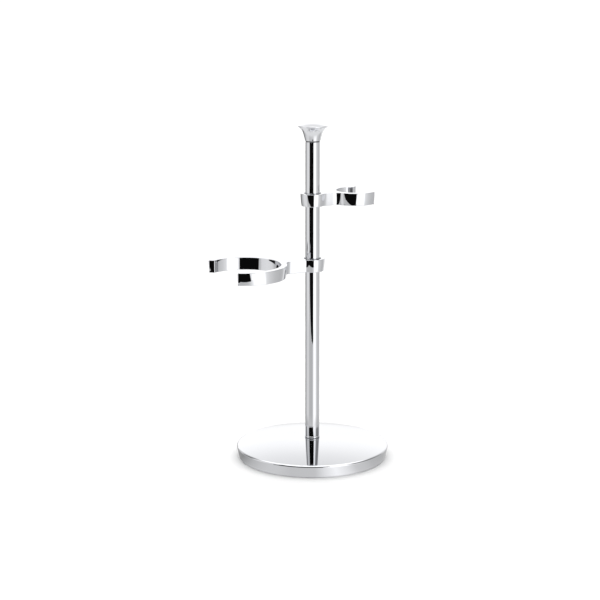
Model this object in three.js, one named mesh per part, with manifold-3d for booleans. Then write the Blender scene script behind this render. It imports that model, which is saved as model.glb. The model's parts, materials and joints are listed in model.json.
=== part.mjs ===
// Free-standing chrome stand for a shaving brush and a razor, in millimetres, +Z up.
// The origin is on the table, on the axis of the post. The brush ring points to -X, the razor ring to +X.
import * as THREE from "three";
import { mergeVertices } from "three/addons/utils/BufferGeometryUtils.js";
import Module from "manifold-3d";

const wasm = await Module();
wasm.setup();

// ---- Driving dimensions ----

const BASE_RADIUS = 40;
const BASE_RIM_HEIGHT = 6.8; // where the side wall turns over into the dome
const BASE_TAPER = 1.1; // how much smaller the side wall is at its foot
const BASE_RIM_FILLET = 1.1;
const DOME_HEIGHT = 10.4; // top of the dome, at the post
const PAD_PROUD = 0.4; // how far the rubber pad lifts the shell off the table
const SHELL_WALL = 1.6;
const SKIRT_WALL = 2.5;
const PAD_THICKNESS = 1.4;

const POST_RADIUS = 3.75;
const POST_WALL = 1;
const POST_TOP = 168;
const FOOT_FLANGE_PROUD = 0.2; // the foot's flange stands this far out from the tube
const FOOT_FLANGE_HEIGHT = 1;
const PLUG_LENGTH = 8;

const ROD_RADIUS = 1.95; // M4 threaded rod
const ROD_HOLE_RADIUS = 2.15;

const FINIAL_FOOT_RADIUS = 3.95;
const FINIAL_RIM_RADIUS = 8.15;
const FINIAL_CONE_SHARE = 0.42; // share of the flare's spread that is a straight cone
const FINIAL_STEEPNESS = 4.2; // power of the rest, which is nearly all close to the rim
const FINIAL_FLARE_HEIGHT = 7.6;
const FINIAL_DOME_RISE = 1.7;
const FINIAL_THREAD_DEPTH = 5.5;
const FINIAL_WASHER_THICKNESS = 0.4;

const HOLDER_HEIGHT = 6.6;
const HOLDER_DRAFT = 0.44; // the outer faces lean in by this much at the bottom
const RING_WALL = 3.1;
const MOUTH_FLARE = THREE.MathUtils.degToRad(33); // each side of a ring's mouth, off its centre line
const COLLAR_RADIUS = 6.3;
const BUSH_WALL = 0.6;
const BUSH_SLIT = 0.5;
const BUSH_RECESS = 0.3; // the bush stops short of both faces of its collar
const SET_SCREW_RADIUS = 1.45; // M3
const SET_SCREW_HOLE_RADIUS = 1.5;
const SET_SCREW_PAD_THICKNESS = 0.6;
const HEX_KEY = 1.5; // across flats
const HEX_SOCKET_DEPTH = 1.6;

// Each holder is drawn with its ring towards +X, and `turn` swings it round the post.
const BRUSH = {
  name: "brush",
  turn: Math.PI,
  top: 107.1,
  reach: 39, // from the post's axis to the ring's centre
  ringRadius: 22.05,
  mouthHalfAngle: THREE.MathUtils.degToRad(56.5), // at the outer edge
  neckHalfWidth: 3.65,
  fillet: 3.5,
  screwLength: 6,
};
const RAZOR = {
  name: "razor",
  turn: 0,
  top: 141.3,
  reach: 24.2,
  ringRadius: 12.45,
  mouthHalfAngle: THREE.MathUtils.degToRad(57),
  neckHalfWidth: 4.4,
  fillet: 4,
  screwLength: 4,
};

// ---- Derived dimensions and clearances ----

const RUNNING_FIT = 0.05; // radial clearance of everything that slides or turns
const FACE_GAP = 0.05; // between flat faces that are clamped together
const SEAT_GAP = 0.3; // between curved faces that are clamped together

const SHELL_BOTTOM = PAD_PROUD;
const CAVITY_RADIUS = BASE_RADIUS - BASE_TAPER - SKIRT_WALL;
const WEIGHT_RADIUS = CAVITY_RADIUS - SEAT_GAP;
const WEIGHT_BOTTOM = PAD_THICKNESS + FACE_GAP;
const DOME_EDGE_RADIUS = BASE_RADIUS - BASE_RIM_FILLET;
const FOOT_FLANGE_RADIUS = POST_RADIUS + FOOT_FLANGE_PROUD;
const POST_SEAT_MARGIN = 0.4; // the flat round the post's foot is this much wider than the foot
const POST_SEAT_RADIUS = FOOT_FLANGE_RADIUS + POST_SEAT_MARGIN;

const NUT_HEIGHT = 3;
const NUT_ACROSS_FLATS = 7;
const SPRING_WASHER_HEIGHT = 0.9;
const SPRING_WASHER_RADIUS = 3.6;
const SPRING_WASHER_SLIT = 0.5;
const WASHER_HEIGHT = 0.8;
const WASHER_RADIUS = 4.5;
const NUT_POCKET_RADIUS = 6;
const NUT_POCKET_TOP = 7;
const ROD_STICKOUT = 0.2; // below the nut

const POST_BOTTOM = DOME_HEIGHT + FOOT_FLANGE_HEIGHT + FACE_GAP;
const TUBE_BORE_RADIUS = POST_RADIUS - POST_WALL;
const PLUG_RADIUS = TUBE_BORE_RADIUS - RUNNING_FIT;
const FINIAL_BOTTOM = POST_TOP + FINIAL_WASHER_THICKNESS + 2 * FACE_GAP;
const FINIAL_RIM_TOP = FINIAL_BOTTOM + FINIAL_FLARE_HEIGHT;

const BUSH_BORE_RADIUS = POST_RADIUS + RUNNING_FIT;
const BUSH_RADIUS = BUSH_BORE_RADIUS + BUSH_WALL;
const COLLAR_BORE_RADIUS = BUSH_RADIUS + RUNNING_FIT;
const SET_SCREW_PAD_START = BUSH_RADIUS + 2 * FACE_GAP;
const SET_SCREW_START = SET_SCREW_PAD_START + SET_SCREW_PAD_THICKNESS + 2 * FACE_GAP;

const BASE_SEGMENTS = 72;
const POST_SEGMENTS = 60;
const SMALL_SEGMENTS = 24;
const ARC_STEP = THREE.MathUtils.degToRad(6);
const COARSE_ARC_STEP = THREE.MathUtils.degToRad(20);
const DOME_STEPS = 5;
const FINIAL_FLARE_STEPS = 8;
const FINIAL_DOME_STEPS = 4;
const CUT_MARGIN = 1; // how far a cutting tool runs past the faces it cuts
const MERGE_TOLERANCE = 1e-4;

// ---- Materials ----

function finish(color, roughness, metalness) {
  return new THREE.MeshStandardMaterial({ color, roughness, metalness });
}

const chrome = () => finish(0xe6e7ea, 0.05, 1);
const castIron = () => finish(0x4a4a4c, 0.75, 0.8);
const steel = () => finish(0xa7a9ac, 0.35, 1);
const brass = () => finish(0xb9964f, 0.35, 1);
const nylon = () => finish(0x23242a, 0.55, 0);
const rubber = () => finish(0x1c1c1d, 0.9, 0);

// ---- Geometry helpers ----

const root = new THREE.Group();

function add(name, geometry, material, parent = root) {
  const mesh = new THREE.Mesh(geometry, material);
  mesh.name = name;
  parent.add(mesh);
  return mesh;
}

// Points [r, z] turned about Z. Listed anticlockwise, with r to the right and z up.
function turned(points, segments) {
  const profile = points.map(([r, z]) => new THREE.Vector2(r, z));
  return new THREE.LatheGeometry(profile, segments).rotateX(Math.PI / 2);
}

// A plain ring: a washer, tube or plug.
function ring(outer, inner, bottom, top, segments) {
  const section = [[inner, bottom], [outer, bottom], [outer, top], [inner, top], [inner, bottom]];
  return turned(section, segments);
}

function disc(radius, bottom, top, segments) {
  return turned([[0, bottom], [radius, bottom], [radius, top], [0, top]], segments);
}

// Points of an arc about (x, y), both ends included.
function arc(x, y, radius, from, to, step = ARC_STEP) {
  const steps = Math.max(2, Math.ceil(Math.abs(to - from) / step));
  return Array.from({ length: steps + 1 }, (_, i) => {
    const angle = from + ((to - from) * i) / steps;
    return new THREE.Vector2(x + radius * Math.cos(angle), y + radius * Math.sin(angle));
  });
}

// A sleeve with a slit through its wall on the -X side.
function splitSleeve(outer, inner, slit, bottom, height, step = ARC_STEP) {
  const outerGap = Math.asin(slit / 2 / outer);
  const innerGap = Math.asin(slit / 2 / inner);
  const outline = [
    ...arc(0, 0, outer, -Math.PI + outerGap, Math.PI - outerGap, step),
    ...arc(0, 0, inner, Math.PI - innerGap, -Math.PI + innerGap, step),
  ];
  const settings = { depth: height, bevelEnabled: false };
  return new THREE.ExtrudeGeometry(new THREE.Shape(outline), settings).translate(0, 0, bottom);
}

// A prism along Z with `sides` sides, sized across its flats.
function prism(sides, acrossFlats, bottom, top) {
  const corner = acrossFlats / 2 / Math.cos(Math.PI / sides);
  return disc(corner, bottom, top, sides);
}

// Turns a shape made along Z so that it lies along +X at the given height.
function alongX(geometry, height) {
  return geometry.rotateY(Math.PI / 2).translate(0, 0, height);
}

function solidOf(geometry) {
  const bare = geometry.clone();
  bare.deleteAttribute("normal");
  bare.deleteAttribute("uv");
  const merged = mergeVertices(bare, MERGE_TOLERANCE);
  const vertProperties = merged.attributes.position.array;
  const triVerts = new Uint32Array(merged.index.array);
  return new wasm.Manifold(new wasm.Mesh({ numProp: 3, vertProperties, triVerts }));
}

function geometryOf(solid) {
  const { vertProperties, triVerts } = solid.getMesh();
  const geometry = new THREE.BufferGeometry();
  geometry.setAttribute("position", new THREE.BufferAttribute(vertProperties, 3));
  geometry.setIndex(new THREE.BufferAttribute(triVerts, 1));
  geometry.computeVertexNormals();
  return geometry;
}

function cut(body, ...tools) {
  const result = tools.reduce((solid, tool) => solid.subtract(solidOf(tool)), solidOf(body));
  return geometryOf(result);
}

// ---- Base ----

// Height of the dome's top at radius r: a shallow spherical cap over the rim.
function domeHeight(r) {
  const share = Math.min(r / DOME_EDGE_RADIUS, 1);
  return DOME_HEIGHT - (DOME_HEIGHT - BASE_RIM_HEIGHT) * share * share;
}

// The dome from radius `from` to radius `to`, lowered by `drop`.
function domePoints(from, to, drop) {
  return Array.from({ length: DOME_STEPS + 1 }, (_, i) => {
    const r = from + ((to - from) * i) / DOME_STEPS;
    return [r, domeHeight(r) - drop];
  });
}

function rimFillet() {
  const x = BASE_RADIUS - BASE_RIM_FILLET;
  const z = BASE_RIM_HEIGHT - BASE_RIM_FILLET;
  const points = arc(x, z, BASE_RIM_FILLET, 0, Math.PI / 2, COARSE_ARC_STEP);
  return points.map((p) => [p.x, p.y]).slice(0, -1);
}

function baseShell() {
  const seat = domeHeight(POST_SEAT_RADIUS);
  return turned(
    [
      [ROD_HOLE_RADIUS, domeHeight(ROD_HOLE_RADIUS) - SHELL_WALL],
      ...domePoints(POST_SEAT_RADIUS, CAVITY_RADIUS, SHELL_WALL),
      [CAVITY_RADIUS, SHELL_BOTTOM],
      [BASE_RADIUS - BASE_TAPER, SHELL_BOTTOM],
      ...rimFillet(),
      ...domePoints(DOME_EDGE_RADIUS, POST_SEAT_RADIUS, 0),
      [ROD_HOLE_RADIUS, seat],
      [ROD_HOLE_RADIUS, domeHeight(ROD_HOLE_RADIUS) - SHELL_WALL],
    ],
    BASE_SEGMENTS,
  );
}

function baseWeight() {
  const drop = SHELL_WALL + SEAT_GAP;
  return turned(
    [
      [ROD_HOLE_RADIUS, NUT_POCKET_TOP],
      [NUT_POCKET_RADIUS, NUT_POCKET_TOP],
      [NUT_POCKET_RADIUS, WEIGHT_BOTTOM],
      [WEIGHT_RADIUS, WEIGHT_BOTTOM],
      ...domePoints(WEIGHT_RADIUS, POST_SEAT_RADIUS, drop),
      [ROD_HOLE_RADIUS, domeHeight(POST_SEAT_RADIUS) - drop],
      [ROD_HOLE_RADIUS, NUT_POCKET_TOP],
    ],
    BASE_SEGMENTS,
  );
}

function addBase() {
  const washerBottom = NUT_POCKET_TOP - FACE_GAP - WASHER_HEIGHT;
  const springBottom = washerBottom - FACE_GAP - SPRING_WASHER_HEIGHT;
  const nutTop = springBottom - FACE_GAP;
  const nutBottom = nutTop - NUT_HEIGHT;
  const hole = disc(ROD_HOLE_RADIUS, nutBottom - CUT_MARGIN, nutTop + CUT_MARGIN, SMALL_SEGMENTS);
  const nut = cut(prism(6, NUT_ACROSS_FLATS, nutBottom, nutTop), hole);
  const washer = ring(
    WASHER_RADIUS, ROD_HOLE_RADIUS, washerBottom, washerBottom + WASHER_HEIGHT, SMALL_SEGMENTS,
  );
  const springWasher = splitSleeve(
    SPRING_WASHER_RADIUS, ROD_HOLE_RADIUS, SPRING_WASHER_SLIT, springBottom, SPRING_WASHER_HEIGHT,
    COARSE_ARC_STEP,
  );
  const rodBottom = nutBottom - ROD_STICKOUT;
  const rodTop = FINIAL_BOTTOM + FINIAL_THREAD_DEPTH - SEAT_GAP;

  add("base_pad", disc(WEIGHT_RADIUS, 0, PAD_THICKNESS, BASE_SEGMENTS), rubber());
  add("base_shell", baseShell(), chrome());
  add("base_weight", baseWeight(), castIron());
  add("base_washer", washer, steel());
  add("base_spring_washer", springWasher, steel());
  add("base_nut", nut, steel());
  add("tie_rod", disc(ROD_RADIUS, rodBottom, rodTop, SMALL_SEGMENTS), steel());
}

// ---- Post and finial ----

function postFoot() {
  const bottom = domeHeight(POST_SEAT_RADIUS) + FACE_GAP;
  const shoulder = POST_BOTTOM - FACE_GAP;
  const top = shoulder + PLUG_LENGTH;
  return turned(
    [
      [ROD_HOLE_RADIUS, bottom],
      [FOOT_FLANGE_RADIUS, bottom],
      [FOOT_FLANGE_RADIUS, shoulder],
      [PLUG_RADIUS, shoulder],
      [PLUG_RADIUS, top],
      [ROD_HOLE_RADIUS, top],
      [ROD_HOLE_RADIUS, bottom],
    ],
    POST_SEGMENTS,
  );
}

// The flare between the finial's foot and its rim: a cone that turns out into a thin lip.
function finialFlare() {
  const cone = (FINIAL_RIM_RADIUS - FINIAL_FOOT_RADIUS) * FINIAL_CONE_SHARE;
  const lip = (FINIAL_RIM_RADIUS - FINIAL_FOOT_RADIUS) * (1 - FINIAL_CONE_SHARE);
  return Array.from({ length: FINIAL_FLARE_STEPS + 1 }, (_, i) => {
    const share = i / FINIAL_FLARE_STEPS;
    const r = FINIAL_FOOT_RADIUS + cone * share + lip * share ** FINIAL_STEEPNESS;
    return [r, FINIAL_BOTTOM + FINIAL_FLARE_HEIGHT * share];
  });
}

function finialDome() {
  return Array.from({ length: FINIAL_DOME_STEPS }, (_, i) => {
    const share = 1 - (i + 1) / FINIAL_DOME_STEPS;
    return [FINIAL_RIM_RADIUS * share, FINIAL_RIM_TOP + FINIAL_DOME_RISE * (1 - share * share)];
  });
}

function finial() {
  const threadTop = FINIAL_BOTTOM + FINIAL_THREAD_DEPTH;
  return turned(
    [
      [0, threadTop],
      [ROD_HOLE_RADIUS, threadTop],
      [ROD_HOLE_RADIUS, FINIAL_BOTTOM],
      ...finialFlare(),
      ...finialDome(),
    ],
    POST_SEGMENTS,
  );
}

function addPost() {
  const washerBottom = POST_TOP + FACE_GAP;
  const washerTop = washerBottom + FINIAL_WASHER_THICKNESS;
  const washer = ring(POST_RADIUS, ROD_HOLE_RADIUS, washerBottom, washerTop, POST_SEGMENTS);
  const headPlug = ring(
    PLUG_RADIUS, ROD_HOLE_RADIUS, POST_TOP - PLUG_LENGTH, POST_TOP, POST_SEGMENTS,
  );

  add("post_foot", postFoot(), chrome());
  add("post_tube", ring(POST_RADIUS, TUBE_BORE_RADIUS, POST_BOTTOM, POST_TOP, POST_SEGMENTS), chrome());
  add("post_head_plug", headPlug, nylon());
  add("finial_washer", washer, nylon());
  add("finial", finial(), chrome());
}

// ---- Brush and razor holders ----

// Where a side of the mouth, a flat face, crosses the circle of this radius about the ring's centre.
function mouthAngle(holder, radius) {
  const offset = holder.ringRadius * Math.sin(holder.mouthHalfAngle - MOUTH_FLARE);
  return MOUTH_FLARE + Math.asin(offset / radius);
}

// Plan outline of a holder, anticlockwise, shrunk by `inset` on its outer faces.
// Collar and neck, and neck and ring, run into each other through concave fillets.
function holderOutline(holder, inset) {
  const { reach, ringRadius, neckHalfWidth, fillet } = holder;
  const collar = COLLAR_RADIUS - inset;
  const outer = ringRadius - inset;
  const inner = ringRadius - RING_WALL;
  const filletY = neckHalfWidth + fillet;
  const collarFilletX = Math.sqrt((COLLAR_RADIUS + fillet) ** 2 - filletY ** 2);
  const ringFilletX = reach - Math.sqrt((ringRadius + fillet) ** 2 - filletY ** 2);
  const filletRadius = fillet + inset;
  const collarAngle = Math.atan2(filletY, collarFilletX);
  const ringAngle = Math.atan2(filletY, ringFilletX - reach);
  const outerMouth = mouthAngle(holder, outer);
  const innerMouth = mouthAngle(holder, inner);

  const lowerHalf = [
    ...arc(collarFilletX, -filletY, filletRadius, Math.PI - collarAngle, Math.PI / 2),
    ...arc(ringFilletX, -filletY, filletRadius, Math.PI / 2, Math.PI - ringAngle),
    ...arc(reach, 0, outer, -ringAngle, -outerMouth).slice(1),
  ];
  const upperHalf = lowerHalf.map((p) => new THREE.Vector2(p.x, -p.y)).reverse();
  return [
    ...arc(0, 0, collar, collarAngle, 2 * Math.PI - collarAngle).slice(1, -1),
    ...lowerHalf,
    ...arc(reach, 0, inner, 2 * Math.PI - innerMouth, innerMouth),
    ...upperHalf,
  ];
}

// A solid between a bottom outline and a top outline with the same number of points.
function loft(bottomOutline, topOutline, bottom, top) {
  const count = bottomOutline.length;
  const caps = THREE.ShapeUtils.triangulateShape(topOutline, []);
  const positions = [
    ...bottomOutline.flatMap((p) => [p.x, p.y, bottom]),
    ...topOutline.flatMap((p) => [p.x, p.y, top]),
  ];
  const triangles = [];
  for (const [a, b, c] of caps) {
    triangles.push(a + count, b + count, c + count);
    triangles.push(a, c, b);
  }
  for (let i = 0; i < count; i++) {
    const next = (i + 1) % count;
    triangles.push(i, next, next + count);
    triangles.push(i, next + count, i + count);
  }
  const geometry = new THREE.BufferGeometry();
  geometry.setAttribute("position", new THREE.Float32BufferAttribute(positions, 3));
  geometry.setIndex(triangles);
  return geometry;
}

function holderBody(holder, bottom, middle) {
  const blank = loft(
    holderOutline(holder, HOLDER_DRAFT), holderOutline(holder, 0), bottom, holder.top,
  );
  const bore = disc(
    COLLAR_BORE_RADIUS, bottom - CUT_MARGIN, holder.top + CUT_MARGIN, POST_SEGMENTS,
  );
  const insideRing = holder.reach - holder.ringRadius + RING_WALL + CUT_MARGIN;
  const tappedHole = alongX(disc(SET_SCREW_HOLE_RADIUS, 0, insideRing, SMALL_SEGMENTS), middle);
  return cut(blank, bore, tappedHole);
}

// A headless screw in the neck, driven by a key that reaches it through the open ring.
function setScrew(holder, middle) {
  const end = SET_SCREW_START + holder.screwLength;
  const body = disc(SET_SCREW_RADIUS, SET_SCREW_START, end, SMALL_SEGMENTS);
  const socket = prism(6, HEX_KEY, end - HEX_SOCKET_DEPTH, end + CUT_MARGIN);
  return alongX(cut(body, socket), middle);
}

function setScrewPad(middle) {
  const end = SET_SCREW_PAD_START + SET_SCREW_PAD_THICKNESS;
  return alongX(disc(SET_SCREW_RADIUS, SET_SCREW_PAD_START, end, SMALL_SEGMENTS), middle);
}

function addHolder(holder) {
  const bottom = holder.top - HOLDER_HEIGHT;
  const middle = bottom + HOLDER_HEIGHT / 2;
  const bush = splitSleeve(
    BUSH_RADIUS, BUSH_BORE_RADIUS, BUSH_SLIT, bottom + BUSH_RECESS, HOLDER_HEIGHT - 2 * BUSH_RECESS,
  );
  const group = new THREE.Group();
  group.rotation.z = holder.turn;
  root.add(group);

  add(holder.name + "_holder", holderBody(holder, bottom, middle), chrome(), group);
  add(holder.name + "_bush", bush, nylon(), group);
  add(holder.name + "_set_screw", setScrew(holder, middle), steel(), group);
  add(holder.name + "_screw_pad", setScrewPad(middle), brass(), group);
}

addBase();
addPost();
addHolder(BRUSH);
addHolder(RAZOR);

export default root;
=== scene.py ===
"""Looks of the chrome razor stand, in metres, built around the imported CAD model."""
import json
import math

import bmesh
import bpy
from mathutils import Matrix, Vector
from mathutils.geometry import tessellate_polygon


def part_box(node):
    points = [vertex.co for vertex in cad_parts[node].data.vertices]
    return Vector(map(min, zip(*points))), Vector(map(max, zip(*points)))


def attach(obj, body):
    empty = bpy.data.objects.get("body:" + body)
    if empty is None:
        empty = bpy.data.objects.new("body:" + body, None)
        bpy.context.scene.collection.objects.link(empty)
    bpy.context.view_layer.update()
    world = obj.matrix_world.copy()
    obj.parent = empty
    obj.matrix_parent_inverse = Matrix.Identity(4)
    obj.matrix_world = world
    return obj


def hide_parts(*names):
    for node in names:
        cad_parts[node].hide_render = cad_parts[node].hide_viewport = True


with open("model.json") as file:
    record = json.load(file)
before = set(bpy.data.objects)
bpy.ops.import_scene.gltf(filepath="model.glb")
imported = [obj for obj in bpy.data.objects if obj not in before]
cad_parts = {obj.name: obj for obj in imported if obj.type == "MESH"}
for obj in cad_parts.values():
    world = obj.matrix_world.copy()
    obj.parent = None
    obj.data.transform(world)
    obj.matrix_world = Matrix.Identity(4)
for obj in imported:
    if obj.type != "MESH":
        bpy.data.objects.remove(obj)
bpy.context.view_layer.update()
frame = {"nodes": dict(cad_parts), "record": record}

MM = 0.001

# ---- Camera, at the photo's viewing angle. Azimuths are in the CAD frame, from its front. ----

CAMERA_POSITION = Vector((-0.4150, -0.8386, 0.2944))
CAMERA_AZIMUTH = math.radians(-25.93)
CAMERA_PITCH = math.radians(12.63)
CAMERA_FOCAL = 110.1
CAMERA_CLIP = (0.01, 100.0)
SENSOR_WIDTH = 36.0

# ---- Shapes. The places come from the CAD boxes. ----

FIT_GAP = 0.05 * MM  # between a piece and its neighbour, as in the CAD
SMALL_EDGE = 0.1 * MM
ROD_HOLE_RADIUS = 2.15 * MM

BASE_SHOULDER = 6.8 * MM  # height of the rim over the table
BASE_TAPER = 1.1 * MM
BASE_RIM_FILLET = 1.1 * MM
BASE_FOOT_ROUND = 0.5 * MM
BASE_INNER_EDGE = 0.18 * MM
BASE_SEAT_MARGIN = 0.4 * MM  # flat ring that the dome leaves round the post's foot
BASE_SIDE_GUIDE = (0.35, 0.68)  # a point that aims the side: share of the taper, of the rim's height
SHELL_WALL = 1.6 * MM
SKIRT_WALL = 2.5 * MM
SKIRT_GUIDE = 3.0 * MM  # height of a point that aims the skirt's inner wall

TUBE_WALL = 1.0 * MM
TUBE_TOP_EDGE = 0.15 * MM
PLUG_EDGE = 0.2 * MM
FLANGE_ROUNDING = 0.4  # share of the flange's thickness that each edge takes

FINIAL_FOOT_RADIUS = 3.95 * MM
FINIAL_FLARE_HEIGHT = 7.6 * MM
FINIAL_CONE_SHARE = 0.42  # share of the flare's spread that is a straight cone
FINIAL_STEEPNESS = 4.2  # power of the rest
FINIAL_THREAD_DEPTH = 5.5 * MM
FLARE_SHARE = 0.90  # where the flare runs into the rounded rim
CROWN_SHARE = 0.92  # where the dome does

WASHER_INSET = 0.1 * MM  # leaves a fine groove under the finial
PAD_FOOT_EDGE = 0.25 * MM

HOLDER_EDGE = 0.22 * MM
HOLDER_CORNER = 0.45 * MM
HOLDER_DRAFT = 0.55 * MM  # how far the outer walls lean in at the bottom
COLLAR_RADIUS = 6.3 * MM
RING_WALL = 3.1 * MM
MOUTH_FLARE = math.radians(33)  # each side of a ring's mouth, off its centre line
SCREW_HOLE_RADIUS = 1.5 * MM
DRILL_MARGIN = 1.0 * MM  # the drill starts this far from the post's axis and ends this far past the wall

BUSH_WALL = 0.6 * MM
BUSH_SLIT = 0.5 * MM

# Each holder: the side of the post it is on, the distance to its ring's centre, the ring's outer
# radius, half the neck's width, the fillets at its ends, and half the mouth's angle at the outer wall.
BRUSH = {
    "side": -1, "reach": 39.0 * MM, "ring": 22.05 * MM, "neck": 3.65 * MM, "fillet": 3.5 * MM,
    "mouth": math.radians(56.5),
}
RAZOR = {
    "side": 1, "reach": 24.2 * MM, "ring": 12.45 * MM, "neck": 4.4 * MM, "fillet": 4.0 * MM,
    "mouth": math.radians(57.0),
}

# ---- Fineness of the meshes ----

SUPPORT = 0.02 * MM  # distance of the loops that keep flat faces flat beside a rounded edge
MERGE_DISTANCE = 1e-8
SHARP_ANGLE = math.radians(35)

ROUNDED_STEPS = 5
TURN_SEGMENTS = 192
SLIM_SEGMENTS = 96
HOLE_SEGMENTS = 32
RIM_STEPS = 14
DOME_STEPS = 40
CEILING_STEPS = 8
FLARE_STEPS = 36
FOOT_EDGE_STEPS = 3  # of the flare's steps, those that the foot's broken edge takes up
LIP_STEPS = 16
CORNER_STEPS = 4
FILLET_STEPS = 12
NECK_STEPS = 4
RING_STEPS = 44
COLLAR_STEPS = 72
BORE_STEPS = 96
EDGE_STEPS = 4
WALL_STEPS = 6
BUSH_STEPS = 80

# ---- Studio, in metres. Azimuths are in degrees to the camera's right of the camera's side. ----

FLOOR_SIZE = 12.0
FLOOR_ALBEDO = 0.9
FLOOR_ROUGHNESS = 0.9

# What the chrome sees, as brightness by azimuth. Each layer takes over from the one before it
# between its two elevations, in degrees.
STUDIO_LAYERS = [
    (-90, -89, [
        (-180, 0.95), (-130, 0.95), (-126, 0.26), (-98, 0.26), (-95, 1.1), (-62, 1.1),
        (-60, 0.005), (58, 0.005), (60, 1.1), (72, 0.92), (85, 0.66), (120, 0.72), (130, 1.1),
        (180, 1.1),
    ]),
    (-2, 4, [
        (-180, 0.95), (-130, 0.9), (-126, 0.32), (-104, 0.32), (-100, 0.9), (-62, 1.1),
        (-60, 0.005), (56, 0.005), (58, 0.55), (75, 0.45), (100, 0.38), (125, 0.5), (135, 1.1),
        (180, 1.1),
    ]),
    (40, 50, [(-180, 1.9), (180, 1.9)]),
]

# The backdrop stands behind the object, past this azimuth on both sides. Its brightness is by
# elevation, and it fades in below and out above over these many degrees.
BACKDROP_EDGE = 148
BACKDROP = [
    (-14, 0.5), (-5, 0.55), (-2, 1.1), (0, 1.2), (4, 1.31), (8, 1.37), (13, 1.42), (18, 1.48),
    (24, 1.43), (28, 1.36), (34, 1.24), (44, 1.1),
]
BACKDROP_FADES = (1, 4)

# The table's light and shade by azimuth, painted in: far from the base, and close to it, where the base
# shades it with a painted shadow and a painted bright reflection.
TABLE_FAR_PAINTED_LIGHT = [
    (-180, 1.02), (-160, 1.02), (-150, 0.2), (-134, 0.15), (-130, 0.68), (-108, 0.7),
    (-100, 0.98), (-62, 1.03), (-54, 0.82), (-44, 0.72), (-8, 0.7), (2, 0.78), (8, 0.95),
    (14, 1.25), (20, 1.7), (52, 1.7), (58, 1.15), (70, 0.95), (88, 0.8), (113, 0.7),
    (128, 0.75), (136, 1.1), (180, 1.02),
]
TABLE_NEAR_PAINTED_LIGHT = [
    (-180, 0.75), (-95, 0.4), (-80, 0.38), (-70, 0.54), (-60, 0.72), (-50, 0.84), (-40, 0.92),
    (-30, 0.92), (-18, 0.83), (2, 0.85), (10, 1.17), (20, 1.46), (30, 1.23), (40, 0.9),
    (50, 0.84), (60, 0.72), (80, 0.62), (110, 0.65), (180, 0.75),
]
NEAR_RADII = (0.048, 0.085)  # near ends and far begins at these distances from the post
# A painted sheen: where the far table is seen from above, it is given the brightness of the overhead
# light's reflection.
TABLE_PAINTED_SHEEN = 1.12  # looked at from above, the far table shines under the overhead light
PAINTED_SHEEN_FACINGS = (0.32, 0.5)
TABLE_DROP = 0.0002  # under the floor, so that the two don't meet

# The table's outline, to the camera's right and towards the camera. The black gap starts at its
# front edge, and a notch behind the post shows the dark foot of the backdrop.
TABLE_OUTLINE = [
    (-1.5, -1.5), (-0.797, -1.5), (-0.16, -0.3), (0.16, -0.3), (0.797, -1.5), (1.5, -1.5),
    (1.5, 1.46), (0.312, 1.46), (0.054, 0.255), (0.0, 0.254), (-0.122, 0.262), (-0.294, 0.304),
    (-1.5, 0.974),
]

# Two upright cards on the table. Each has its ends in plan, its outline (share of the way from the
# first end to the second, height) and its brightness by that share.
CARD_HEIGHT = 0.4
CARD_FOOT = -0.05
WHITE_CARD = {
    "name": "white_card",
    "ends": [(0.045, 0.286), (0.405, 0.240)],
    "outline": [
        (0.10, CARD_FOOT), (1.0, CARD_FOOT), (1.0, CARD_HEIGHT), (0.25, CARD_HEIGHT),
        (0.25, 0.100), (0.155, 0.075), (0.07, 0.028),
    ],
    "brightness": [(0.0, 1.9), (0.68, 1.9), (0.86, 1.35), (1.0, 1.0)],
}
GREY_CARD = {
    "name": "grey_card",
    "ends": [(-0.225, 0.215), (-0.400, -0.045)],
    "outline": [
        (0.18, CARD_FOOT), (1.0, CARD_FOOT), (1.0, CARD_HEIGHT), (0.065, CARD_HEIGHT),
        (0.065, 0.100), (0.18, 0.078),
    ],
    "brightness": [(0.0, 1.02), (0.5, 1.12), (1.0, 1.05)],
}


# ---- Mesh helpers ----

def between(start, end, steps):
    """The numbers from start to end in equal steps."""
    return [start + (end - start) * i / steps for i in range(steps + 1)]


def new_object(name, verts, faces):
    mesh = bpy.data.meshes.new(name)
    mesh.from_pydata(verts, [], faces)
    mesh.validate()
    made = bmesh.new()
    made.from_mesh(mesh)
    bmesh.ops.remove_doubles(made, verts=made.verts, dist=MERGE_DISTANCE)
    bmesh.ops.recalc_face_normals(made, faces=made.faces)
    made.to_mesh(mesh)
    made.free()
    obj = bpy.data.objects.new(name, mesh)
    bpy.context.scene.collection.objects.link(obj)
    return obj


def shade(obj):
    obj.data.shade_smooth()
    obj.data.set_sharp_from_angle(angle=SHARP_ANGLE)
    return obj


def arc(x, y, radius, start, end, steps):
    """Points (x, y, nx, ny) of an arc, with the outward normal of an anticlockwise outline."""
    sign = 1.0 if end > start else -1.0
    points = []
    for a in between(start, end, steps):
        c, s = math.cos(a), math.sin(a)
        points.append((x + radius * c, y + radius * s, sign * c, sign * s))
    return points


def rounded_corner(here, before, after, radius):
    """The arc that rounds one corner, with a support point at each of its ends."""
    a = (before - here).normalized()
    b = (after - here).normalized()
    half = math.acos(max(-1.0, min(1.0, a.dot(b)))) / 2
    length = radius / math.tan(half)
    centre = here + (a + b).normalized() * (radius / math.sin(half))
    first = here + a * length
    last = here + b * length
    turn = math.pi - 2 * half
    sign = 1.0 if a.cross(b) < 0 else -1.0
    points = [tuple(first + a * SUPPORT)]
    for angle in between(0.0, sign * turn, ROUNDED_STEPS):
        spoke = first - centre
        spoke.rotate(Matrix.Rotation(angle, 2))
        points.append(tuple(centre + spoke))
    return [*points, tuple(last + b * SUPPORT)]


def rounded(corners):
    """A closed path through corners (x, y, radius). A corner with no radius stays sharp."""
    path = []
    for i, (x, y, radius) in enumerate(corners):
        if radius > 0:
            before = Vector(corners[i - 1][:2])
            after = Vector(corners[(i + 1) % len(corners)][:2])
            path += rounded_corner(Vector((x, y)), before, after, radius)
        else:
            path.append((x, y))
    return path


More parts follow.
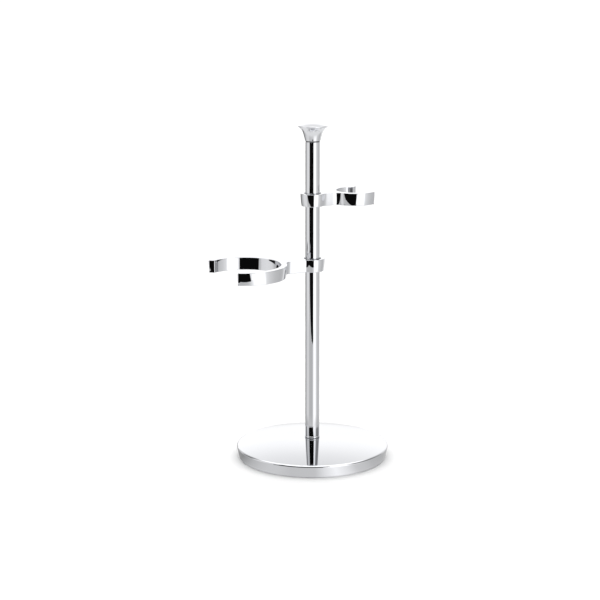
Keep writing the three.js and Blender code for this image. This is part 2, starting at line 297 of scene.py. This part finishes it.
def turned(name, profile, segments, closed=True):
    """Turns a profile of (r, z) about the post's axis. Points on the axis become one point."""
    verts, faces, rows = [], [], []
    for r, z in profile:
        if r < MERGE_DISTANCE:
            rows.append([len(verts)] * segments)
            verts.append((0.0, 0.0, z))
            continue
        rows.append(list(range(len(verts), len(verts) + segments)))
        for a in between(0.0, 2 * math.pi, segments)[:-1]:
            verts.append((r * math.cos(a), r * math.sin(a), z))
    pairs = list(zip(rows, rows[1:]))
    if closed:
        pairs.append((rows[-1], rows[0]))
    for low, high in pairs:
        for k in range(segments):
            n = (k + 1) % segments
            loop = [low[k], low[n], high[n], high[k]]
            face = [v for i, v in enumerate(loop) if v not in loop[:i]]
            if len(face) > 2:
                faces.append(face)
    return shade(new_object(name, verts, faces))


def bridge(low, high, count):
    """The faces between two closed rows of count vertices, given by their first ones."""
    faces = []
    for i in range(count):
        n = (i + 1) % count
        faces.append((low + i, low + n, high + n, high + i))
    return faces


# ---- Base and post ----

def base_shell_piece():
    """A low dome, a rim fillet, a tapered side, and a hollow for the ballast."""
    low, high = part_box("base_shell")
    radius = high.x
    foot = radius - BASE_TAPER
    inner = foot - SKIRT_WALL
    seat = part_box("post_foot")[1].x + BASE_SEAT_MARGIN
    # The rim fillet runs from the tapered side to the dome's own slope, so neither shows a crease.
    centre_r = radius - BASE_RIM_FILLET
    centre_z = BASE_SHOULDER - BASE_RIM_FILLET
    taper = math.atan2(BASE_TAPER, BASE_SHOULDER - low.z)
    tilt = math.atan(2 * (high.z - BASE_SHOULDER) / centre_r)
    fillet = arc(centre_r, centre_z, BASE_RIM_FILLET, -taper, math.pi / 2 - tilt, RIM_STEPS)
    rim = [(r, z) for r, z, _, _ in fillet]
    dome_r, dome_z = rim[-1]

    def dome_height(r):
        share = (r - seat) / (dome_r - seat)
        return high.z - (high.z - dome_z) * share ** 2

    dome = [(r, dome_height(r)) for r in between(dome_r, seat, DOME_STEPS)[1:]]
    ceiling = [(r, dome_height(r) - SHELL_WALL) for r in between(seat, inner, CEILING_STEPS)]
    taper_share, height_share = BASE_SIDE_GUIDE
    skirt = rounded([
        (inner, low.z + SKIRT_GUIDE, 0),
        (inner, low.z, BASE_INNER_EDGE),
        (foot, low.z, BASE_FOOT_ROUND),
        (radius - taper_share * BASE_TAPER, height_share * BASE_SHOULDER, 0),
    ])[1:-1]
    hole_bottom = (ROD_HOLE_RADIUS, high.z - SHELL_WALL)
    hole_top = (ROD_HOLE_RADIUS, high.z)
    profile = [hole_bottom, *ceiling, *skirt, *rim, *dome, hole_top]
    return turned("base_shell_polished", profile, TURN_SEGMENTS)


def post_tube_piece():
    low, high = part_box("post_tube")
    radius = high.x
    bore = radius - TUBE_WALL
    corners = [
        (bore, low.z, SMALL_EDGE),
        (radius, low.z, SMALL_EDGE),
        (radius, high.z, TUBE_TOP_EDGE),
        (bore, high.z, SMALL_EDGE),
    ]
    return turned("post_tube_polished", rounded(corners), SLIM_SEGMENTS)


def post_foot_piece():
    """A flange under the tube, with a plug that fits into it."""
    low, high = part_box("post_foot")
    tube_low, tube_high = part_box("post_tube")
    flange = high.x
    shoulder = tube_low.z - FIT_GAP
    plug = tube_high.x - TUBE_WALL - FIT_GAP
    round_over = FLANGE_ROUNDING * (shoulder - low.z)
    corners = [
        (ROD_HOLE_RADIUS, low.z, SMALL_EDGE),
        (flange, low.z, round_over),
        (flange, shoulder, round_over),
        (plug, shoulder, 0),
        (plug, high.z, PLUG_EDGE),
        (ROD_HOLE_RADIUS, high.z, SMALL_EDGE),
    ]
    return turned("post_foot_polished", rounded(corners), SLIM_SEGMENTS)


def finial_piece():
    """A cone that flares to a rounded rim, under a shallow dome, with a blind hole for the rod."""
    low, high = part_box("finial")
    rim = high.x
    foot = FINIAL_FOOT_RADIUS
    shoulder = low.z + FINIAL_FLARE_HEIGHT
    side = []
    for share in between(0.0, FLARE_SHARE, FLARE_STEPS)[FOOT_EDGE_STEPS:]:
        cone = FINIAL_CONE_SHARE * share
        curve = (1 - FINIAL_CONE_SHARE) * share ** FINIAL_STEEPNESS
        side.append((foot + (rim - foot) * (cone + curve), low.z + FINIAL_FLARE_HEIGHT * share))
    crown = []
    for share in between(CROWN_SHARE, 0.0, DOME_STEPS):
        crown.append((rim * share, shoulder + (high.z - shoulder) * (1 - share ** 2)))
    start, end, tip = Vector(side[-1]), Vector(crown[0]), Vector((rim, shoulder))
    lip = []
    for t in between(0.0, 1.0, LIP_STEPS)[1:-1]:
        lip.append(tuple(start * (1 - t) ** 2 + tip * 2 * t * (1 - t) + end * t ** 2))
    thread_top = low.z + FINIAL_THREAD_DEPTH
    underside = rounded([
        (ROD_HOLE_RADIUS, thread_top, 0),
        (ROD_HOLE_RADIUS, low.z, SMALL_EDGE),
        (foot, low.z, SMALL_EDGE),
        (*side[0], 0),
    ])[:-1]
    profile = [(0.0, thread_top), *underside, *side, *lip, *crown]
    return turned("finial_polished", profile, TURN_SEGMENTS, closed=False)


def finial_washer_piece():
    low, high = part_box("finial_washer")
    radius = high.x - WASHER_INSET
    corners = [
        (ROD_HOLE_RADIUS, low.z, 0),
        (radius, low.z, SMALL_EDGE),
        (radius, high.z, SMALL_EDGE),
        (ROD_HOLE_RADIUS, high.z, 0),
    ]
    return turned("finial_washer_moulded", rounded(corners), SLIM_SEGMENTS)


def base_pad_piece():
    low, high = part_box("base_pad")
    profile = rounded([
        (0.0, low.z, 0),
        (high.x, low.z, PAD_FOOT_EDGE),
        (high.x, high.z, SMALL_EDGE),
        (0.0, high.z, 0),
    ])
    return turned("base_pad_moulded", profile, SLIM_SEGMENTS, closed=False)


# ---- Holders and bushes ----

def mouth_angle(radius, offset):
    """Where a line this far from the ring's centre, parallel to a side of the mouth, meets a circle."""
    return MOUTH_FLARE + math.asin(offset / radius)


def with_draft(points, share):
    """Adds to each point how much of the walls' draft it takes."""
    return [(*p, share) for p in points]


def end_face(holder):
    """The angles where a ring's outer and inner walls stop, and the rounded end face between them."""
    corner = HOLDER_CORNER
    offset = holder["ring"] * math.sin(holder["mouth"] - MOUTH_FLARE) + corner
    face_normal = math.pi / 2 - MOUTH_FLARE

    def corner_arc(centre, stop, start, end):
        x = holder["reach"] + centre * math.cos(stop)
        y = -centre * math.sin(stop)
        return arc(x, y, corner, start, end, CORNER_STEPS)

    outer = holder["ring"] - corner
    inner = holder["ring"] - RING_WALL + corner
    outer_stop = mouth_angle(outer, offset)
    inner_stop = mouth_angle(inner, offset)
    outer_corner = corner_arc(outer, outer_stop, -outer_stop, face_normal)
    inner_corner = corner_arc(inner, inner_stop, face_normal, math.pi - inner_stop)
    fading = [(*p, 1 - i / CORNER_STEPS) for i, p in enumerate(outer_corner)]
    return outer_stop, inner_stop, [*fading, *with_draft(inner_corner, 0)]


def holder_outline(holder):
    """Points (x, y, nx, ny, drafted) of a holder's plan, anticlockwise, with its ring towards +X."""
    reach, ring, fillet = holder["reach"], holder["ring"], holder["fillet"]
    fillet_y = holder["neck"] + fillet
    collar_x = math.sqrt((COLLAR_RADIUS + fillet) ** 2 - fillet_y ** 2)
    ring_x = reach - math.sqrt((ring + fillet) ** 2 - fillet_y ** 2)
    collar_angle = math.atan2(fillet_y, collar_x)
    ring_angle = math.atan2(fillet_y, reach - ring_x)
    outer_stop, inner_stop, face = end_face(holder)
    quarter, half, full = math.pi / 2, math.pi, 2 * math.pi
    neck = [(x, -holder["neck"], 0.0, -1.0) for x in between(collar_x, ring_x, NECK_STEPS)[1:-1]]
    drafted = [
        *arc(collar_x, -fillet_y, fillet, half - collar_angle, quarter, FILLET_STEPS),
        *neck,
        *arc(ring_x, -fillet_y, fillet, quarter, ring_angle, FILLET_STEPS),
        *arc(reach, 0, ring, ring_angle - half, -outer_stop, RING_STEPS)[1:-1],
    ]
    front = [*with_draft(drafted, 1), *face]
    back = [(x, -y, nx, -ny, share) for x, y, nx, ny, share in reversed(front)]
    collar = arc(0, 0, COLLAR_RADIUS, collar_angle, full - collar_angle, COLLAR_STEPS)[1:-1]
    inside = arc(reach, 0, ring - RING_WALL, full - inner_stop, inner_stop, 2 * RING_STEPS)[1:-1]
    return [*with_draft(collar, 1), *front, *with_draft(inside, 0), *back]


def edge_levels(bottom, top):
    """Levels (z, inset) of a wall whose top and bottom edges are rounded, from bottom to top."""
    edge = HOLDER_EDGE
    turns = between(0.0, math.pi / 2, EDGE_STEPS)
    low = [(bottom + edge * (1 - math.sin(a)), edge * (1 - math.cos(a))) for a in reversed(turns)]
    high = [(top - edge * (1 - math.sin(a)), edge * (1 - math.cos(a))) for a in turns]
    wall = [(z, 0.0) for z in between(bottom + edge, top - edge, WALL_STEPS)[1:-1]]
    lower = [(bottom, edge + SUPPORT), *low, (bottom + edge + SUPPORT, 0.0)]
    upper = [(top - edge - SUPPORT, 0.0), *high, (top, edge + SUPPORT)]
    return [*lower, *wall, *upper]


def level_points(outline, z, inset, draft):
    points = []
    for x, y, nx, ny, share in outline:
        depth = inset + draft * share
        points.append((x - nx * depth, y - ny * depth, z))
    return points


def lid(verts, start, count, bore_count):
    """The flat face of one level: the outline with the bore's circle cut out."""
    middle = start + count
    loops = [
        [Vector(v) for v in verts[start:middle]],
        [Vector(v) for v in verts[middle:middle + bore_count]],
    ]
    return [tuple(start + i for i in triangle) for triangle in tessellate_polygon(loops)]


def holder_piece(kind, holder):
    """One casting: the collar, the neck and the open ring, with its bore and the screw's hole."""
    low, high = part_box(kind + "_holder")
    bush_low, bush_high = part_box(kind + "_bush")
    bottom, top = low.z, high.z
    bore_radius = (bush_high.y - bush_low.y) / 2 + FIT_GAP
    outline = holder_outline(holder)
    bore = with_draft(arc(0, 0, bore_radius, 2 * math.pi, 0, BORE_STEPS)[:-1], 0)
    count, bore_count = len(outline), len(bore)
    verts, faces, starts = [], [], []
    for z, inset in edge_levels(bottom, top):
        draft = HOLDER_DRAFT * ((top - z) / (top - bottom)) ** 2
        starts.append(len(verts))
        verts += level_points(outline, z, inset, draft)
        verts += level_points(bore, z, inset, 0)
    for a, b in zip(starts, starts[1:]):
        faces += bridge(a, b, count)
        faces += bridge(a + count, b + count, bore_count)
    faces += lid(verts, starts[0], count, bore_count)
    faces += lid(verts, starts[-1], count, bore_count)
    side = holder["side"]
    verts = [(x * side, y * side, z) for x, y, z in verts]
    piece = new_object(kind + "_holder_polished", verts, faces)
    drill(piece, holder, (bottom + top) / 2)
    return shade(piece)


def drill(piece, holder, height):
    """Cuts the tapped hole that runs from inside the ring, through the neck, to the bore."""
    start = DRILL_MARGIN
    end = holder["reach"] - holder["ring"] + RING_WALL + DRILL_MARGIN
    profile = [(0, start), (SCREW_HOLE_RADIUS, start), (SCREW_HOLE_RADIUS, end), (0, end)]
    tool = turned("hole_tool", profile, HOLE_SEGMENTS, closed=False)
    tool.data.transform(Matrix.Rotation(math.pi / 2, 4, "Y"))
    tool.data.transform(Matrix.Scale(holder["side"], 4, Vector((1, 0, 0))))
    tool.data.transform(Matrix.Translation((0, 0, height)))
    if holder["side"] < 0:
        tool.data.flip_normals()
    cut = piece.modifiers.new("tapped_hole", "BOOLEAN")
    cut.operation = "DIFFERENCE"
    cut.solver = "EXACT"
    cut.object = tool
    bpy.context.view_layer.update()
    graph = bpy.context.evaluated_depsgraph_get()
    mesh = bpy.data.meshes.new_from_object(piece.evaluated_get(graph))
    piece.modifiers.clear()
    piece.data = mesh
    bpy.data.objects.remove(tool)


def bush_piece(kind, side):
    """The split sleeve: a C in plan, with its slit opposite the ring."""
    low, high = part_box(kind + "_bush")
    outer = (high.y - low.y) / 2
    inner = outer - BUSH_WALL
    outer_end = math.pi - math.asin(BUSH_SLIT / 2 / outer)
    inner_end = math.pi - math.asin(BUSH_SLIT / 2 / inner)
    outline = [
        *arc(0, 0, outer, -outer_end, outer_end, BUSH_STEPS),
        *arc(0, 0, inner, inner_end, -inner_end, BUSH_STEPS),
    ]
    edge = SMALL_EDGE
    levels = [(low.z, edge), (low.z + edge, 0), (high.z - edge, 0), (high.z, edge)]
    count = len(outline)
    verts, faces = [], []
    for z, inset in levels:
        verts += level_points(with_draft(outline, 0), z, inset, 0)
    verts = [(x * side, y * side, z) for x, y, z in verts]
    for k in range(len(levels) - 1):
        faces += bridge(k * count, (k + 1) * count, count)
    for start in (0, (len(levels) - 1) * count):
        last = start + count - 1
        for i in range(BUSH_STEPS):
            faces.append((start + i, start + i + 1, last - i - 1, last - i))
    return shade(new_object(kind + "_bush_moulded", verts, faces))


# ---- Node helpers ----

def feed(tree, socket, value):
    """Sets a socket to a number, or links a node's output to it."""
    if isinstance(value, (int, float)):
        socket.default_value = value
    else:
        tree.links.new(value, socket)


def math_node(tree, operation, *values):
    node = tree.nodes.new("ShaderNodeMath")
    node.operation = operation
    for socket, value in zip(node.inputs, values):
        feed(tree, socket, value)
    return node.outputs["Value"]


def mix(tree, factor, a, b):
    node = tree.nodes.new("ShaderNodeMix")
    feed(tree, node.inputs["Factor"], factor)
    feed(tree, node.inputs["A"], a)
    feed(tree, node.inputs["B"], b)
    return node.outputs["Result"]


def spread(tree, value, low, high, start=0.0, end=1.0):
    """Maps a value between start and end to the range from low to high."""
    node = tree.nodes.new("ShaderNodeMapRange")
    node.inputs["From Min"].default_value = start
    node.inputs["From Max"].default_value = end
    node.inputs["To Min"].default_value = low
    node.inputs["To Max"].default_value = high
    tree.links.new(value, node.inputs["Value"])
    return node.outputs["Result"]


# ---- Materials of the object ----

def material(name, color, metallic, roughness):
    made = bpy.data.materials.new(name)
    made.use_nodes = True
    shader = made.node_tree.nodes["Principled BSDF"]
    shader.inputs["Base Color"].default_value = (*color, 1.0)
    shader.inputs["Metallic"].default_value = metallic
    shader.inputs["Roughness"].default_value = roughness
    return made, made.node_tree, shader


def noise(tree, scale, detail, stretch=(1, 1, 1)):
    coords = tree.nodes.new("ShaderNodeTexCoord")
    mapping = tree.nodes.new("ShaderNodeMapping")
    mapping.inputs["Scale"].default_value = stretch
    texture = tree.nodes.new("ShaderNodeTexNoise")
    texture.inputs["Scale"].default_value = scale
    texture.inputs["Detail"].default_value = detail
    tree.links.new(coords.outputs["Object"], mapping.inputs["Vector"])
    tree.links.new(mapping.outputs["Vector"], texture.inputs["Vector"])
    return texture.outputs["Fac"]


def bump(tree, shader, height, strength, distance):
    node = tree.nodes.new("ShaderNodeBump")
    node.inputs["Strength"].default_value = strength
    node.inputs["Distance"].default_value = distance
    tree.links.new(height, node.inputs["Height"])
    tree.links.new(node.outputs["Normal"], shader.inputs["Normal"])


def tint(tree, shader, value, dark, light):
    node = tree.nodes.new("ShaderNodeMix")
    node.data_type = "RGBA"
    node.inputs["A"].default_value = (*dark, 1.0)
    node.inputs["B"].default_value = (*light, 1.0)
    tree.links.new(value, node.inputs["Factor"])
    tree.links.new(node.outputs["Result"], shader.inputs["Base Color"])


def chrome():
    """Mirror chrome plate: nearly even, with faint polishing marks and slow waviness."""
    made, tree, shader = material("chrome_plate", (0.62, 0.625, 0.645), 1.0, 0.03)
    haze = noise(tree, 90.0, 6.0)
    tree.links.new(spread(tree, haze, 0.012, 0.05, 0.35, 0.75), shader.inputs["Roughness"])
    tint(tree, shader, noise(tree, 25.0, 3.0), (0.60, 0.608, 0.632), (0.64, 0.644, 0.658))
    bump(tree, shader, noise(tree, 160.0, 2.0), 0.02, 0.00002)
    return made


def steel():
    made, tree, shader = material("zinc_plated_steel", (0.5, 0.5, 0.52), 1.0, 0.3)
    grain = noise(tree, 900.0, 5.0, (1, 1, 8))
    tree.links.new(spread(tree, grain, 0.22, 0.45), shader.inputs["Roughness"])
    tint(tree, shader, noise(tree, 300.0, 4.0), (0.42, 0.43, 0.46), (0.58, 0.58, 0.56))
    bump(tree, shader, grain, 0.2, 0.00004)
    return made


def cast_iron():
    made, tree, shader = material("cast_iron", (0.1, 0.1, 0.105), 0.7, 0.7)
    grain = noise(tree, 700.0, 8.0)
    tree.links.new(spread(tree, grain, 0.55, 0.85), shader.inputs["Roughness"])
    tint(tree, shader, grain, (0.06, 0.06, 0.065), (0.16, 0.155, 0.15))
    bump(tree, shader, grain, 0.6, 0.0002)
    return made


def brass():
    made, tree, shader = material("turned_brass", (0.62, 0.42, 0.16), 1.0, 0.3)
    grain = noise(tree, 900.0, 4.0, (8, 1, 1))
    tree.links.new(spread(tree, grain, 0.2, 0.4), shader.inputs["Roughness"])
    tint(tree, shader, grain, (0.55, 0.36, 0.13), (0.7, 0.5, 0.22))
    bump(tree, shader, grain, 0.2, 0.00003)
    return made


def nylon():
    made, tree, shader = material("moulded_nylon", (0.02, 0.02, 0.022), 0.0, 0.5)
    grain = noise(tree, 1500.0, 6.0)
    tree.links.new(spread(tree, grain, 0.4, 0.6), shader.inputs["Roughness"])
    tint(tree, shader, grain, (0.016, 0.016, 0.018), (0.03, 0.03, 0.033))
    bump(tree, shader, grain, 0.3, 0.00003)
    return made


def rubber():
    made, tree, shader = material("base_rubber", (0.02, 0.02, 0.02), 0.0, 0.85)
    grain = noise(tree, 1200.0, 8.0)
    tree.links.new(spread(tree, grain, 0.75, 0.95), shader.inputs["Roughness"])
    tint(tree, shader, grain, (0.014, 0.014, 0.015), (0.03, 0.03, 0.03))
    bump(tree, shader, grain, 0.5, 0.0001)
    return made


# ---- Assembly ----

def paint(obj, finish):
    obj.data.materials.clear()
    obj.data.materials.append(finish)


def paint_node(node, finish):
    """Gives a CAD node that stays visible its finish, through its own slots."""
    obj = frame["nodes"][node]
    if not obj.material_slots:
        obj.data.materials.append(finish)
    for entry in obj.material_slots:
        entry.material = finish


def place(piece, body, node, finish):
    paint(piece, finish)
    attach(piece, body)
    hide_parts(node)


def build():
    plate, plastic, soft = chrome(), nylon(), rubber()
    place(base_shell_piece(), "stand", "base_shell", plate)
    place(post_foot_piece(), "stand", "post_foot", plate)
    place(post_tube_piece(), "stand", "post_tube", plate)
    place(finial_piece(), "stand", "finial", plate)
    place(finial_washer_piece(), "stand", "finial_washer", plastic)
    place(base_pad_piece(), "stand", "base_pad", soft)
    for kind, holder in (("brush", BRUSH), ("razor", RAZOR)):
        casting = holder_piece(kind, holder)
        place(casting, kind + "_arm", kind + "_holder", plate)
        bush = bush_piece(kind, holder["side"])
        place(bush, kind + "_slider", kind + "_bush", plastic)
    finishes = {"steel": steel(), "cast_iron": cast_iron(), "brass": brass(), "nylon": plastic}
    for row in frame["record"]["subparts"]:
        if row["material_slot"] in finishes:
            paint_node(row["node"], finishes[row["material_slot"]])


# ---- Camera ----

def add_camera():
    data = bpy.data.cameras.new("camera")
    data.lens = CAMERA_FOCAL
    data.sensor_width = SENSOR_WIDTH
    data.clip_start, data.clip_end = CAMERA_CLIP
    camera = bpy.data.objects.new("camera", data)
    camera.location = CAMERA_POSITION
    back = Vector((
        math.sin(CAMERA_AZIMUTH) * math.cos(CAMERA_PITCH),
        -math.cos(CAMERA_AZIMUTH) * math.cos(CAMERA_PITCH),
        math.sin(CAMERA_PITCH),
    ))
    camera.rotation_mode = "QUATERNION"
    camera.rotation_quaternion = (-back).to_track_quat("-Z", "Y")
    bpy.context.scene.collection.objects.link(camera)
    bpy.context.scene.camera = camera


# ---- Studio ----

def ramp(tree, value, stops):
    """Brightness by a value, straight between stops of (value, brightness)."""
    start, end = stops[0][0], stops[-1][0]
    scale = max(level for _, level in stops)
    node = tree.nodes.new("ShaderNodeValToRGB")
    elements = node.color_ramp.elements
    elements.remove(elements[-1])
    for i, (position, level) in enumerate(stops):
        share = (position - start) / (end - start)
        element = elements[0] if i == 0 else elements.new(share)
        element.position = share
        element.color = (*(level / scale,) * 3, 1.0)
    tree.links.new(spread(tree, value, 0.0, 1.0, start, end), node.inputs["Fac"])
    return math_node(tree, "MULTIPLY", node.outputs["Color"], scale)


def azimuth_of(tree, vector):
    """A vector's azimuth in degrees to the camera's right of the camera's own side."""
    parts = tree.nodes.new("ShaderNodeSeparateXYZ")
    tree.links.new(vector, parts.inputs["Vector"])
    away = math_node(tree, "MULTIPLY", parts.outputs["Y"], -1.0)
    angle = math_node(tree, "ARCTAN2", parts.outputs["X"], away)
    from_camera = math_node(tree, "SUBTRACT", angle, CAMERA_AZIMUTH)
    wrapped = math_node(tree, "WRAP", from_camera, math.pi, -math.pi)
    return math_node(tree, "DEGREES", wrapped)


def elevation_of(tree, vector):
    """A unit vector's elevation in degrees."""
    parts = tree.nodes.new("ShaderNodeSeparateXYZ")
    tree.links.new(vector, parts.inputs["Vector"])
    return math_node(tree, "DEGREES", math_node(tree, "ARCSINE", parts.outputs["Z"]))


def glow(name):
    """A material that only shines, with its node tree and the socket of its brightness."""
    made = bpy.data.materials.new(name)
    made.use_nodes = True
    tree = made.node_tree
    tree.nodes.clear()
    emission = tree.nodes.new("ShaderNodeEmission")
    output = tree.nodes.new("ShaderNodeOutputMaterial")
    tree.links.new(emission.outputs["Emission"], output.inputs["Surface"])
    return made, tree, emission.inputs["Strength"]


# The table's light and shade, painted in as a glow: the base's painted shadow close to the post, painted
# light farther out, and a painted sheen where it is seen from above.
def table_painted_light():
    made, tree, brightness = glow("table_painted_light")
    point = tree.nodes.new("ShaderNodeTexCoord").outputs["Object"]
    azimuth = azimuth_of(tree, point)
    length = tree.nodes.new("ShaderNodeVectorMath")
    length.operation = "LENGTH"
    tree.links.new(point, length.inputs[0])
    weight = tree.nodes.new("ShaderNodeLayerWeight")
    grazing = spread(tree, weight.outputs["Facing"], 0.0, 1.0, *PAINTED_SHEEN_FACINGS)
    far = mix(tree, grazing, TABLE_PAINTED_SHEEN, ramp(tree, azimuth, TABLE_FAR_PAINTED_LIGHT))
    near = ramp(tree, azimuth, TABLE_NEAR_PAINTED_LIGHT)
    away = spread(tree, length.outputs["Value"], 0.0, 1.0, *NEAR_RADII)
    tree.links.new(mix(tree, away, near, far), brightness)
    return made


def card_glow(card):
    made, tree, brightness = glow(card["name"] + "_glow")
    coords = tree.nodes.new("ShaderNodeUVMap")
    parts = tree.nodes.new("ShaderNodeSeparateXYZ")
    tree.links.new(coords.outputs["UV"], parts.inputs["Vector"])
    tree.links.new(ramp(tree, parts.outputs["X"], card["brightness"]), brightness)
    return made


def in_front(right, forward, height):
    """A point given by its distance to the camera's right and towards the camera."""
    c, s = math.cos(CAMERA_AZIMUTH), math.sin(CAMERA_AZIMUTH)
    return (right * c + forward * s, right * s - forward * c, height)


def only_seen_by_chrome(obj):
    obj.visible_camera = False
    obj.visible_diffuse = False
    obj.visible_shadow = False


def add_card(card):
    (right, forward), (far_right, far_forward) = card["ends"]
    corners = []
    for share, height in card["outline"]:
        along = right + (far_right - right) * share
        out = forward + (far_forward - forward) * share
        corners.append(in_front(along, out, height))
    sheet = new_object(card["name"], corners, [tuple(range(len(corners)))])
    layer = sheet.data.uv_layers.new(name="share")
    for loop in sheet.data.loops:
        layer.data[loop.index].uv = (card["outline"][loop.vertex_index][0], 0.0)
    paint(sheet, card_glow(card))
    only_seen_by_chrome(sheet)


def add_table():
    """The table as the chrome sees it, with its light and shade painted in, which nothing else sees."""
    corners = [in_front(*point, -TABLE_DROP) for point in TABLE_OUTLINE]
    table = new_object("table_front", corners, [tuple(range(len(corners)))])
    paint(table, table_painted_light())
    only_seen_by_chrome(table)


def add_floor():
    """The plain white floor, which the chrome doesn't see."""
    half = FLOOR_SIZE / 2
    corners = [(-half, -half, 0), (half, -half, 0), (half, half, 0), (-half, half, 0)]
    floor = new_object("floor", corners, [(0, 1, 2, 3)])
    made, _, shader = material("floor_white", (FLOOR_ALBEDO,) * 3, 0.0, FLOOR_ROUGHNESS)
    shader.inputs["Specular IOR Level"].default_value = 0.0
    paint(floor, made)
    floor.visible_glossy = False


def layered_light(tree, azimuth, elevation):
    light = 0.0
    for low, high, stops in STUDIO_LAYERS:
        share = spread(tree, elevation, 0.0, 1.0, low, high)
        light = mix(tree, share, light, ramp(tree, azimuth, stops))
    return light


def with_backdrop(tree, azimuth, elevation, light):
    fade_in, fade_out = BACKDROP_FADES
    first, last = BACKDROP[0][0], BACKDROP[-1][0]
    beside = math_node(tree, "ABSOLUTE", azimuth)
    behind = math_node(tree, "GREATER_THAN", beside, BACKDROP_EDGE)
    above = spread(tree, elevation, 0.0, 1.0, first, first + fade_in)
    below = spread(tree, elevation, 1.0, 0.0, last, last + fade_out)
    share = math_node(tree, "MULTIPLY", math_node(tree, "MULTIPLY", behind, above), below)
    return mix(tree, share, light, ramp(tree, elevation, BACKDROP))


def add_studio():
    """Soft light from all round, in the bands that show in the chrome."""
    world = bpy.data.worlds.new("studio")
    bpy.context.scene.world = world
    world.use_nodes = True
    tree = world.node_tree
    background = tree.nodes["Background"]
    background.inputs["Color"].default_value = (1, 1, 1, 1)
    direction = tree.nodes.new("ShaderNodeTexCoord").outputs["Generated"]
    azimuth = azimuth_of(tree, direction)
    elevation = elevation_of(tree, direction)
    light = layered_light(tree, azimuth, elevation)
    light = with_backdrop(tree, azimuth, elevation, light)
    tree.links.new(light, background.inputs["Strength"])

    # What the camera sees directly past the floor is plain white.
    path = tree.nodes.new("ShaderNodeLightPath")
    plain = tree.nodes.new("ShaderNodeBackground")
    plain.inputs["Color"].default_value = (1, 1, 1, 1)
    chosen = tree.nodes.new("ShaderNodeMixShader")
    tree.links.new(path.outputs["Is Camera Ray"], chosen.inputs["Fac"])
    tree.links.new(background.outputs["Background"], chosen.inputs[1])
    tree.links.new(plain.outputs["Background"], chosen.inputs[2])
    tree.links.new(chosen.outputs["Shader"], tree.nodes["World Output"].inputs["Surface"])


add_camera()
add_studio()
add_floor()
add_table()
add_card(WHITE_CARD)
add_card(GREY_CARD)
build()
bpy.context.scene.view_settings.view_transform = "Standard"
